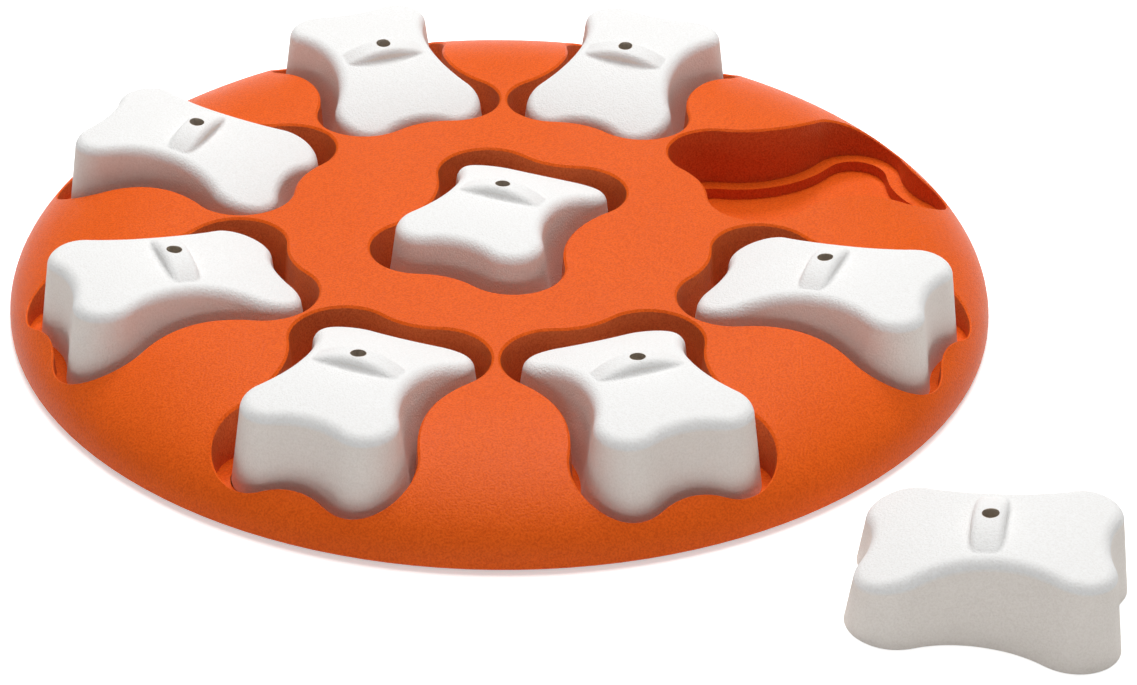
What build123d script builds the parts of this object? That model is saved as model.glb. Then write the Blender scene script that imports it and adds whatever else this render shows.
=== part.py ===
"""Dog puzzle feeder: a shallow domed board with nine bone-shaped wells and nine lift-off bone covers.

Millimetres, +Z up. The origin is the middle of the board, on the plane that its feet stand on.
"""
from build123d import *
import math
import os

os.makedirs("parts", exist_ok=True)

# ---------------------------------------------------------------- driving dimensions
# Board: one thick pressing with a flat underside.
board_height = 24.1  # crown of the board above the ground
rim_gap = 1.0  # underside above the ground
rim_band = 1.2  # upright part of the rim, below the shoulder
rim_bevel = 0.8  # of the rim's lower edge
shoulder_run = 47.0  # how far in from the rim the shoulder starts to round over
crown_slope = 0.9  # degrees, slope of the crown where the shoulder takes over
mouth_bevel = 0.6  # of each well's edge

# Bone outline at the cover's foot: four lobes, joined by hollow sides and hollow ends.
lobe_spacing_long = 46.8  # between lobe centres along the bone
lobe_spacing_wide = 27.8  # between lobe centres across the bone
lobe_radius = 13.0
waist_width = 40.8  # across the hollow sides
end_length = 67.4  # along the middle, between the hollow ends

# Bone cover: a hollow cap, taller towards its outer end.
cover_height = 25.0  # top face above the foot, at the waist
cover_draft = 8.0  # degrees, lean of the side walls
cover_wall = 2.6
top_long_radius = 128.0  # crown of the top face along the bone
top_cross_radius = 263.0  # crown of the top face across the bone
top_apex_offset = 20.0  # highest line of the top face, outward of the waist
top_edge_radius = 3.6

# Finger ridge: an arched bar across the waist, square to the sloping top face.
ridge_offset = -1.2  # outward of the waist
ridge_margin = 7.6  # from each end of the ridge to the hollow side at the cover's foot
ridge_width = 8.6
ridge_height = 3.2
ridge_round = 2.2  # of its long edges
ridge_blend = 1.2  # hollow rounding where it meets the top face
scent_hole = 4.3

# Wells: the cover's foot stands on a ledge round a treat tray.
ledge_height = 6.1  # ledge above the ground
ledge_width = 4.0
tray_depth = 3.3  # tray floor below the ledge
cover_clearance = 0.4  # between the cover's foot and the well wall
well_draft = 4.0  # degrees, lean of the well walls
tray_draft = 4.0

# Layout: eight wells in a ring, their long axes radial, and one in the middle.
ring_count = 8
well_web = 2.1  # board left between neighbouring wells, at the crown's level
rim_margin = 5.6  # between the covers' feet and the rim
ring_turn = 22.5  # degrees, first well from the X axis
middle_turn = -112.5  # degrees, outer end of the middle cover
empty_well = 0  # this well's cover stands on the ground beside the board
loose_bearing = -50.47  # degrees, where it stands round the board
loose_distance = 52.93  # from the rim to its middle
loose_turn = -11.5

# Feet: rubber pads in shallow recesses, one between each two neighbouring wells and one in the middle.
foot_diameter = 14.0
foot_thickness = 1.6
foot_bevel = 0.5
foot_clearance = 0.3
foot_inset = 22.0  # from the rim to a pad's middle

# ---------------------------------------------------------------- derived sizes
apex_height = cover_height + top_apex_offset**2 / (2 * top_long_radius)
ridge_length = waist_width - 2 * ridge_margin
cover_lean = math.tan(math.radians(cover_draft))
well_lean = math.tan(math.radians(well_draft))
tray_lean = math.tan(math.radians(tray_draft))
tray_floor = ledge_height - tray_depth
half_step = math.radians(180 / ring_count)
mouth_growth = cover_clearance + well_lean * (board_height - ledge_height)
lobe_reach = lobe_radius + mouth_growth + well_web / 2
lobe_span = lobe_reach + math.cos(half_step) * lobe_spacing_wide / 2
ring_radius = lobe_spacing_long / 2 + lobe_span / math.sin(half_step)
board_radius = ring_radius + lobe_spacing_long / 2 + lobe_radius + rim_margin
STANDING = (Align.CENTER, Align.CENTER, Align.MIN)


def hollow_radius(along, across, reach):
    """Radius of the hollow arc that meets two lobes and comes in to reach."""
    return (along**2 + (reach - across) ** 2 - lobe_radius**2) / (2 * (lobe_radius + across - reach))


def bone_wire(offset, height):
    """Bone outline grown by offset, at a height."""
    lobe = Vector(lobe_spacing_long / 2, lobe_spacing_wide / 2)
    side_radius = hollow_radius(lobe.X, lobe.Y, waist_width / 2)
    end_radius = hollow_radius(lobe.Y, lobe.X, end_length / 2)
    side_angle = math.atan2(waist_width / 2 + side_radius - lobe.Y, -lobe.X)
    end_angle = math.atan2(-lobe.Y, end_length / 2 + end_radius - lobe.X)

    def on_lobe(angle):
        return lobe + Vector(math.cos(angle), math.sin(angle)) * (lobe_radius + offset)

    side_point = on_lobe(side_angle)
    end_point = on_lobe(end_angle)
    lobe_point = on_lobe((side_angle + end_angle) / 2)
    waist_point = Vector(0, waist_width / 2 + offset)
    tip_point = Vector(end_length / 2 + offset, 0)

    def at(point, flip_x, flip_y):
        return Vector(point.X * flip_x, point.Y * flip_y, height)

    edges = []
    for sx, sy in ((1, 1), (-1, 1), (-1, -1), (1, -1)):
        edges.append(ThreePointArc(at(end_point, sx, sy), at(lobe_point, sx, sy), at(side_point, sx, sy)))
    for sy in (1, -1):
        edges.append(ThreePointArc(at(side_point, 1, sy), at(waist_point, 1, sy), at(side_point, -1, sy)))
    for sx in (1, -1):
        edges.append(ThreePointArc(at(end_point, sx, 1), at(tip_point, sx, 1), at(end_point, sx, -1)))
    return Wire(edges)


def bone_prism(low_offset, low, lean, high):
    """Solid with the bone outline, its walls leaning by lean per millimetre of height."""
    high_offset = low_offset + lean * (high - low)
    return Solid.make_loft([bone_wire(low_offset, low), bone_wire(high_offset, high)], True)


def crowned_block(lowered):
    """Barrel whose upper face is the crowned top of a cover, lowered by a wall or nothing."""
    top = apex_height - lowered
    long_radius = top_long_radius - lowered
    axis_height = top - (top_cross_radius - lowered)
    reach = 2 * lobe_spacing_long
    sag = long_radius - math.sqrt(long_radius**2 - reach**2)
    start = Vector(top_apex_offset - reach, 0, top - sag)
    crest = Vector(top_apex_offset, 0, top)
    end = Vector(top_apex_offset + reach, 0, top - sag)
    foot_start = Vector(start.X, 0, axis_height)
    foot_end = Vector(end.X, 0, axis_height)
    outline = Wire([
        Line(foot_start, start),
        ThreePointArc(start, crest, end),
        Line(end, foot_end),
        Line(foot_end, foot_start),
    ])
    spin = Axis((0, 0, axis_height), (1, 0, 0))
    return revolve(Face(outline).rotate(spin, -20), spin, 40)


def ridge_place():
    """Foot of the finger ridge: on the top face, square to its slope."""
    swing = math.asin((top_apex_offset - ridge_offset) / top_long_radius)
    height = apex_height - top_long_radius * (1 - math.cos(swing))
    return Pos(ridge_offset, 0, height) * Rot(0, -math.degrees(swing), 0)


def finger_ridge():
    """Arched bar lying across the waist; its ends run out into the top face."""
    root = cover_wall / 2
    arch_radius = (ridge_length**2 / 4 + ridge_height**2) / (2 * ridge_height)
    half_root = math.sqrt(arch_radius**2 - (arch_radius - ridge_height - root) ** 2)
    start = Vector(0, -half_root, -root)
    crest = Vector(0, 0, ridge_height)
    end = Vector(0, half_root, -root)
    arch = Face(Wire([ThreePointArc(start, crest, end), Line(end, start)]))
    bar = extrude(arch, ridge_width / 2, both=True)
    bar = fillet(bar.edges().filter_by(GeomType.CIRCLE), ridge_round)
    return ridge_place() * bar


def bone_cover():
    """Hollow cap with a crowned, sloping top, a finger ridge and a scent hole; it stands on z = 0."""
    headroom = apex_height + ridge_height
    cap = bone_prism(0, 0, -cover_lean, headroom) & crowned_block(0)
    cap = fillet(cap.faces().sort_by(Axis.Z)[-1].edges(), top_edge_radius)
    cap = cap + finger_ridge()
    ringed_face = [face for face in cap.faces() if face.inner_wires()][0]
    cap = fillet(ringed_face.inner_wires()[0].edges(), ridge_blend)
    cap = cap - (bone_prism(-cover_wall, 0, -cover_lean, headroom) & crowned_block(cover_wall))
    return cap - Pos(ridge_offset, 0, 0) * Cylinder(scent_hole / 2, headroom, align=STANDING)


def dome():
    """Board before its wells: flat underside, upright rim band, elliptical shoulder, nearly flat crown."""
    crown_angle = math.radians(crown_slope)
    spring = rim_gap + rim_band
    middle = board_radius - shoulder_run
    drop = board_height - spring - middle * math.tan(crown_angle / 2)
    join = math.atan2(drop, shoulder_run * math.tan(crown_angle))
    join_point = Vector(middle + shoulder_run * math.cos(join), 0, spring + drop * math.sin(join))
    crown_radius = join_point.X / math.sin(crown_angle)
    crown_height = join_point.Z + crown_radius * (1 - math.cos(crown_angle))
    crown_sag = crown_radius * (1 - math.cos(crown_angle / 2))
    crown_point = Vector(crown_radius * math.sin(crown_angle / 2), 0, crown_height - crown_sag)
    outline = Wire([
        ThreePointArc(Vector(0, 0, crown_height), crown_point, join_point),
        Plane.XZ * EllipticalCenterArc((middle, spring), shoulder_run, drop, 0, arc_size=math.degrees(join)),
        Line(Vector(board_radius, 0, spring), Vector(board_radius, 0, rim_gap)),
        Line(Vector(board_radius, 0, rim_gap), Vector(0, 0, rim_gap)),
        Line(Vector(0, 0, rim_gap), Vector(0, 0, crown_height)),
    ])
    return revolve(Face(outline), Axis.Z, 360)


def stepped_well():
    """Space of one well: a bone-shaped mouth down to the ledge, then the treat tray."""
    mouth = bone_prism(cover_clearance, ledge_height, well_lean, board_height + tray_depth)
    tray_top = cover_clearance - ledge_width
    return mouth + bone_prism(tray_top - tray_lean * tray_depth, tray_floor, tray_lean, ledge_height)


def well_place(angle, radius):
    """Where a well stands: its axis radial at this angle, or on the spot at no radius."""
    return Rot(0, 0, angle) * Pos(radius, 0, 0)


def foot_places():
    """Midway between neighbouring wells, out near the rim, and under the middle of the board."""
    step = 360 / ring_count
    outer = Pos(board_radius - foot_inset, 0, 0)
    places = {f"foot_{i + 1}": Rot(0, 0, ring_turn + (i + 0.5) * step) * outer for i in range(ring_count)}
    places["foot_middle"] = Pos(0, 0, 0)
    return places


def base_board(wells):
    """Domed pressing with stepped wells in its top and foot recesses in its underside."""
    board = dome()
    board = chamfer(board.edges().group_by(Axis.Z)[0], rim_bevel)
    for place in wells:
        board = board - place * stepped_well()
    surface = board.faces().filter_by(GeomType.SPHERE) + board.faces().filter_by(GeomType.REVOLUTION)
    board = chamfer(surface.edges().filter_by(GeomType.BSPLINE), mouth_bevel)
    recess = Cylinder(foot_diameter / 2 + foot_clearance, foot_thickness, align=STANDING)
    for place in foot_places().values():
        board = board - place * recess
    return board


def foot():
    """Rubber pad; it stands on z = 0."""
    pad = Cylinder(foot_diameter / 2, foot_thickness, align=STANDING)
    return chamfer(pad.edges().group_by(Axis.Z)[0], foot_bevel)


def write(name, shape):
    """One STEP file for one node."""
    shape.label = name
    export_step(shape, f"parts/{name}.step")


ring_step = 360 / ring_count
ring_wells = [well_place(ring_turn + i * ring_step, ring_radius) for i in range(ring_count)]
middle_well = well_place(middle_turn, 0)
write("base_board", base_board(ring_wells + [middle_well]))

cover = bone_cover()
for i, place in enumerate(ring_wells):
    seat = place * Pos(0, 0, ledge_height)
    if i == empty_well:
        seat = well_place(loose_bearing, board_radius + loose_distance) * Rot(0, 0, loose_turn - loose_bearing)
    write(f"bone_cover_{i + 1}", seat * cover)
write("bone_cover_middle", middle_well * Pos(0, 0, ledge_height) * cover)

pad = foot()
for name, place in foot_places().items():
    write(name, place * pad)
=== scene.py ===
"""Looks for the dog puzzle feeder: materials, slimmer covers, floor, soft studio light and the photo's camera."""
import math

import bpy
from mathutils import Matrix, Vector


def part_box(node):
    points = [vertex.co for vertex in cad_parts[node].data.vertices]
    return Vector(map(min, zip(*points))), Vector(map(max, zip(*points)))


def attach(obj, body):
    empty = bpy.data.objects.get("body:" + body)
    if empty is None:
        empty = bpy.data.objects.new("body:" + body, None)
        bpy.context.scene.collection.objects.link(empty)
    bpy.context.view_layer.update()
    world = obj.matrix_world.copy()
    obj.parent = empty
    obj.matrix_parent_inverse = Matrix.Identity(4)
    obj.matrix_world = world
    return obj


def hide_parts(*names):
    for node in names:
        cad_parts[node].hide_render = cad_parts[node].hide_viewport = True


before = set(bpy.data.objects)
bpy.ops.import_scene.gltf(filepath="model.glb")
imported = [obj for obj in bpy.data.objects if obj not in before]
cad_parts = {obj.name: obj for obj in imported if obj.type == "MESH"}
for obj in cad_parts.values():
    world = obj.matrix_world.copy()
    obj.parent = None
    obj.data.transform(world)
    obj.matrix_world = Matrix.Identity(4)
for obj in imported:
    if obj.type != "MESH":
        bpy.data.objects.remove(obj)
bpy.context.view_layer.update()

MM = 0.001

# ---------------------------------------------------------------- camera
CAMERA_TURN = 0.6164  # degrees about Z
CAMERA_ELEVATION = 31.875  # degrees above the ground
CAMERA_ROLL = 0.372  # degrees
CAMERA_TARGET = Vector((0.073, -28.495, 0.0)) * MM
CAMERA_DISTANCE = 935.516 * MM
LENS = 105.234  # mm
SENSOR = 36.0  # mm
SHIFT_X = 0.0607  # of the sensor's width
CLIP_NEAR = 0.05  # m
CLIP_FAR = 20  # m


def add_camera():
    turn = Matrix.Rotation(math.radians(CAMERA_TURN), 3, "Z")
    elevation = math.radians(CAMERA_ELEVATION)
    back = turn @ Vector((0.0, -math.cos(elevation), math.sin(elevation)))
    right = (-back).cross(Vector((0, 0, 1))).normalized()
    up = right.cross(-back).normalized()
    roll = math.radians(CAMERA_ROLL)
    rolled_right = right * math.cos(roll) + up * math.sin(roll)
    rolled_up = up * math.cos(roll) - right * math.sin(roll)
    data = bpy.data.cameras.new("camera")
    data.sensor_width = SENSOR
    data.lens = LENS
    data.shift_x = SHIFT_X
    data.clip_start = CLIP_NEAR
    data.clip_end = CLIP_FAR
    camera = bpy.data.objects.new("camera", data)
    bpy.context.collection.objects.link(camera)
    basis = Matrix((rolled_right, rolled_up, back)).transposed().to_4x4()
    camera.matrix_world = Matrix.Translation(turn @ CAMERA_TARGET + back * CAMERA_DISTANCE) @ basis
    bpy.context.scene.camera = camera


# ---------------------------------------------------------------- materials
MOTTLE_SCALE = 60.0  # noise scales are per metre
MOTTLE_DETAIL = 5.0
MOTTLE_SPAN = (0.3, 0.7)  # noise at which the tint is full, and at which the color is
GRAIN_DETAIL = 3.0
PIT_SPAN = (0.60, 0.35)  # grain at which a pit's color sets in, and at which it is full
WALL_SHADE_SPAN = (0.35, 0.15)  # upward part of the normal at which a steep side's painted shade sets in, and at which it is full
BORE_SHADE_SPAN = (0.12 * MM, -0.02 * MM)  # past the scent hole's radius, where its painted shade sets in, and where it is full
GLOSS_SPREAD = 0.06  # in roughness, either way


def new_material(name):
    material = bpy.data.materials.new(name)
    material.use_nodes = True
    material.node_tree.nodes.clear()
    return material, material.node_tree.nodes, material.node_tree.links


def calculation(nodes, links, kind, operation, *values):
    """A Math or Vector Math node, with a socket or a constant at each of its first inputs."""
    node = nodes.new(kind)
    node.operation = operation
    for target, value in zip(node.inputs, values):
        if isinstance(value, bpy.types.NodeSocket):
            links.new(value, target)
        else:
            target.default_value = value
    return node


def ramped(nodes, links, value, span, result=(0.0, 1.0)):
    """Socket that goes from result's first to its last as value goes over the span."""
    ramp = nodes.new("ShaderNodeMapRange")
    ramp.inputs["From Min"].default_value, ramp.inputs["From Max"].default_value = span
    ramp.inputs["To Min"].default_value, ramp.inputs["To Max"].default_value = result
    links.new(value, ramp.inputs["Value"])
    return ramp.outputs["Result"]


def mixed(nodes, links, share, surface, color, blend="MIX"):
    """Socket with the surface's color, mixed with this color by that share."""
    mix = nodes.new("ShaderNodeMix")
    mix.data_type = "RGBA"
    mix.blend_type = blend
    links.new(share, mix.inputs["Factor"])
    links.new(surface, mix.inputs["A"])
    mix.inputs["B"].default_value = (*color, 1)
    return mix.outputs["Result"]


def noise(nodes, links, place, scale, detail):
    texture = nodes.new("ShaderNodeTexNoise")
    texture.inputs["Scale"].default_value = scale
    texture.inputs["Detail"].default_value = detail
    links.new(place.outputs["Object"], texture.inputs["Vector"])
    return texture.outputs["Fac"]


def axis_distance(nodes, links, place, x, y):
    """Socket with the distance from the upright line through x, y in the piece's own frame."""
    kind = "ShaderNodeVectorMath"
    away = calculation(nodes, links, kind, "SUBTRACT", place.outputs["Object"], (x, y, 0))
    level = calculation(nodes, links, kind, "MULTIPLY", away.outputs[0], (1, 1, 0))
    return calculation(nodes, links, kind, "LENGTH", level.outputs[0]).outputs["Value"]


def plastic(name, color, tint, pit, roughness, grain_scale, grain_height, specular, wall_shade=None, wall_shade_reach=None,
            bore_shade=None):
    """Matt moulded plastic: fine pitted grain, faint mottling in colour and gloss, painted shade on steep walls.

    wall_shade is the painted shade that the color of steep walls is multiplied by, and wall_shade_reach is how far
    from the axis such walls go. bore_shade is (x, y, radius, color) of an upright hole whose side is painted darker,
    as painted shade.
    """
    material, nodes, links = new_material(name)
    output = nodes.new("ShaderNodeOutputMaterial")
    shader = nodes.new("ShaderNodeBsdfPrincipled")
    links.new(shader.outputs["BSDF"], output.inputs["Surface"])
    shader.inputs["Specular IOR Level"].default_value = specular
    place = nodes.new("ShaderNodeTexCoord")

    mottle = noise(nodes, links, place, MOTTLE_SCALE, MOTTLE_DETAIL)
    shades = nodes.new("ShaderNodeValToRGB")
    for element, position, shade in zip(shades.color_ramp.elements, MOTTLE_SPAN, (tint, color)):
        element.position = position
        element.color = (*shade, 1)
    links.new(mottle, shades.inputs["Fac"])
    grain = noise(nodes, links, place, grain_scale, GRAIN_DETAIL)
    pits = ramped(nodes, links, grain, PIT_SPAN)
    surface = mixed(nodes, links, pits, shades.outputs["Color"], pit)

    # Painted shade on steep walls: their color is multiplied down.
    if wall_shade:
        split = nodes.new("ShaderNodeSeparateXYZ")
        links.new(place.outputs["Normal"], split.inputs[0])
        walls = ramped(nodes, links, split.outputs["Z"], WALL_SHADE_SPAN)
        if wall_shade_reach:
            kind = "ShaderNodeMath"
            reach = axis_distance(nodes, links, place, 0, 0)
            within = calculation(nodes, links, kind, "LESS_THAN", reach, wall_shade_reach)
            walls = calculation(nodes, links, kind, "MULTIPLY", walls, within.outputs[0]).outputs[0]
        surface = mixed(nodes, links, walls, surface, wall_shade, "MULTIPLY")
    # Painted shade inside the scent hole: its side is made darker.
    if bore_shade:
        x, y, radius, painted_bore_shade = bore_shade
        span = [radius + past for past in BORE_SHADE_SPAN]
        inside = ramped(nodes, links, axis_distance(nodes, links, place, x, y), span)
        surface = mixed(nodes, links, inside, surface, painted_bore_shade)
    links.new(surface, shader.inputs["Base Color"])

    gloss = ramped(nodes, links, mottle, (0.0, 1.0), (roughness - GLOSS_SPREAD, roughness + GLOSS_SPREAD))
    links.new(gloss, shader.inputs["Roughness"])

    bump = nodes.new("ShaderNodeBump")
    bump.inputs["Strength"].default_value = 1.0
    bump.inputs["Distance"].default_value = grain_height
    links.new(grain, bump.inputs["Height"])
    links.new(bump.outputs["Normal"], shader.inputs["Normal"])
    return material


orange = plastic(
    "orange_plastic", color=(0.88, 0.135, 0.012), tint=(0.855, 0.126, 0.011), pit=(0.72, 0.091, 0.007),
    roughness=0.38, grain_scale=1900, grain_height=0.19 * MM, specular=0.08,
    # The wells' steep walls get painted shade, darker and browner.
    wall_shade=(0.84, 1.14, 3.4), wall_shade_reach=137.5 * MM)
white = plastic(
    "white_plastic", color=(0.93, 0.927, 0.920), tint=(0.92, 0.917, 0.908), pit=(0.87, 0.859, 0.843),
    roughness=0.6, grain_scale=1900, grain_height=0.22 * MM, specular=0.15,
    # The covers' steep walls get painted warm shade, standing in for orange light bounced off the board, and the
    # scent hole gets painted shade.
    wall_shade=(1.0, 0.940, 0.885), bore_shade=(-1.2 * MM, 0, 2.15 * MM, (0.65, 0.57, 0.48)))
rubber = plastic(
    "foot_rubber", color=(0.05, 0.05, 0.052), tint=(0.04, 0.04, 0.042), pit=(0.03, 0.03, 0.03),
    roughness=0.7, grain_scale=1200, grain_height=0.1 * MM, specular=0.4)


def material_for(node):
    if node.startswith("foot"):
        return rubber
    return white if node.startswith("bone") else orange


for node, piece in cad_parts.items():
    piece.data.materials.clear()
    piece.data.materials.append(material_for(node))


# ---------------------------------------------------------------- bone covers
HALF_LONG = 36.4 * MM  # the solids' reach from their own axes
HALF_WIDE = 26.9 * MM
INSET = 2.2 * MM  # how much nearer the axis the photo's bones end than the solids do
RIDGE_HALF = 5.6 * MM  # this much beside the axis, where the ridge is, keeps its width
EASE = 4.0 * MM  # the length over which the inset sets in
TOP_TILT = 0.035  # how much flatter the photo's tops lie, rise over length
TILT_HEIGHT = 25.0 * MM  # the height above the foot at which a top turns by TOP_TILT
RISE = {"bone_cover_1": 0.97}  # share of its height that the one on the ground keeps
SEATING = {  # where each lies within its play, mm
    "bone_cover_1": (1.2, -0.3), "bone_cover_5": (0.6, 0), "bone_cover_6": (1.3, 0), "bone_cover_middle": (0.2, 1.0)}
OUTER_ENDS = {"bone_cover_1": -11.5, "bone_cover_middle": -112.5}  # degrees from the X axis
FIRST_WELL = 22.5  # degrees from the X axis
WELL_STEP = 45


def cover_turn(node):
    """Degrees from the X axis to the cover's outer end."""
    if node in OUTER_ENDS:
        return OUTER_ENDS[node]
    return FIRST_WELL + WELL_STEP * (int(node.split("_")[-1]) - 1)


def slimmed(distance, half, kept):
    """Distance from the axis, eased inwards so that half loses the inset and what is inside kept stays."""
    past = abs(distance) - kept
    if past <= 0:
        return distance
    full = half - kept
    pull = INSET * (past * past / (past + EASE)) / (full * full / (full + EASE))
    return math.copysign(abs(distance) - pull, distance)


def add_cover(node):
    """The cover as the photo shows it: slimmer all round than its solid, with a flatter top."""
    low, high = (Vector(corner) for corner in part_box(node))
    middle = (low + high) / 2
    turn = Matrix.Rotation(math.radians(cover_turn(node)), 4, "Z")
    place = Matrix.Translation((middle.x, middle.y, low.z)) @ turn
    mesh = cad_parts[node].data.copy()
    mesh.transform(place.inverted())
    for vertex in mesh.vertices:
        vertex.co.x = slimmed(vertex.co.x, HALF_LONG, RIDGE_HALF)
        vertex.co.y = slimmed(vertex.co.y, HALF_WIDE, 0)
        vertex.co.z *= RISE.get(node, 1) - TOP_TILT * vertex.co.x / TILT_HEIGHT
    mesh.update()
    nudge = Vector((*SEATING.get(node, (0, 0)), 0)) * MM
    cover = bpy.data.objects.new(node.replace("bone_cover", "cover"), mesh)
    bpy.context.collection.objects.link(cover)
    cover.matrix_world = Matrix.Translation(nudge) @ place
    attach(cover, node)
    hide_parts(node)


for node in list(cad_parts):
    if node.startswith("bone"):
        add_cover(node)


# ---------------------------------------------------------------- stage and light
FLOOR_SIZE = 12  # m
FLOOR_GLOW = 0.5  # lifts the lit floor to white in the picture, and lights nothing
WORLD_LIGHT = 0.185  # on the object
WORLD_SEEN = 1.0  # by the camera
LAMPS = [  # azimuth and elevation in degrees, distance and size in metres, watts
    ("top_softbox", 165, 78, 2.6, 1.6, 49.5),
    ("back_softbox", 178, 51, 2.4, 0.5, 20),
    ("front_card", 0, 6, 1.6, 0.3, 2.3),
]


def add_floor():
    """White floor that keeps the object's shadow; only camera, glossy and transmission rays see its glow."""
    bpy.ops.mesh.primitive_plane_add(size=FLOOR_SIZE, location=(0, 0, 0))
    floor = bpy.context.object
    floor.name = "floor"
    material, nodes, links = new_material("floor")
    output = nodes.new("ShaderNodeOutputMaterial")
    diffuse = nodes.new("ShaderNodeBsdfDiffuse")
    diffuse.inputs["Color"].default_value = (1.0, 1.0, 1.0, 1)
    kind = "ShaderNodeMath"
    rays = nodes.new("ShaderNodeLightPath").outputs
    seen = calculation(nodes, links, kind, "MAXIMUM", rays["Is Camera Ray"], rays["Is Glossy Ray"])
    seen = calculation(nodes, links, kind, "MAXIMUM", seen.outputs[0], rays["Is Transmission Ray"])
    lift = calculation(nodes, links, kind, "MULTIPLY", seen.outputs[0], FLOOR_GLOW)
    glow = nodes.new("ShaderNodeEmission")
    links.new(lift.outputs[0], glow.inputs["Strength"])
    total = nodes.new("ShaderNodeAddShader")
    links.new(diffuse.outputs[0], total.inputs[0])
    links.new(glow.outputs[0], total.inputs[1])
    links.new(total.outputs[0], output.inputs["Surface"])
    floor.data.materials.append(material)


def add_world():
    """Even light from all round, with a level of its own where the camera sees it."""
    world = bpy.data.worlds.new("world")
    bpy.context.scene.world = world
    world.use_nodes = True
    nodes, links = world.node_tree.nodes, world.node_tree.links
    nodes.clear()
    output = nodes.new("ShaderNodeOutputWorld")
    path = nodes.new("ShaderNodeLightPath")
    mix = nodes.new("ShaderNodeMixShader")
    links.new(path.outputs["Is Camera Ray"], mix.inputs[0])
    for level, target in zip((WORLD_LIGHT, WORLD_SEEN), mix.inputs[1:3]):
        background = nodes.new("ShaderNodeBackground")
        background.inputs["Strength"].default_value = level
        links.new(background.outputs[0], target)
    links.new(mix.outputs[0], output.inputs["Surface"])


def add_area(name, azimuth, elevation, distance, size, watts):
    """Square soft box aimed at the board; azimuth 0 is the camera's side, 180 is behind."""
    a, e = math.radians(azimuth), math.radians(elevation)
    away = Vector((math.sin(a) * math.cos(e), -math.cos(a) * math.cos(e), math.sin(e)))
    data = bpy.data.lights.new(name, "AREA")
    data.shape = "SQUARE"
    data.size = size
    data.energy = watts
    light = bpy.data.objects.new(name, data)
    bpy.context.collection.objects.link(light)
    light.location = away * distance
    light.rotation_euler = away.to_track_quat("Z", "Y").to_euler()


add_camera()
add_floor()
add_world()
for lamp in LAMPS:
    add_area(*lamp)
bpy.context.scene.view_settings.view_transform = "Standard"
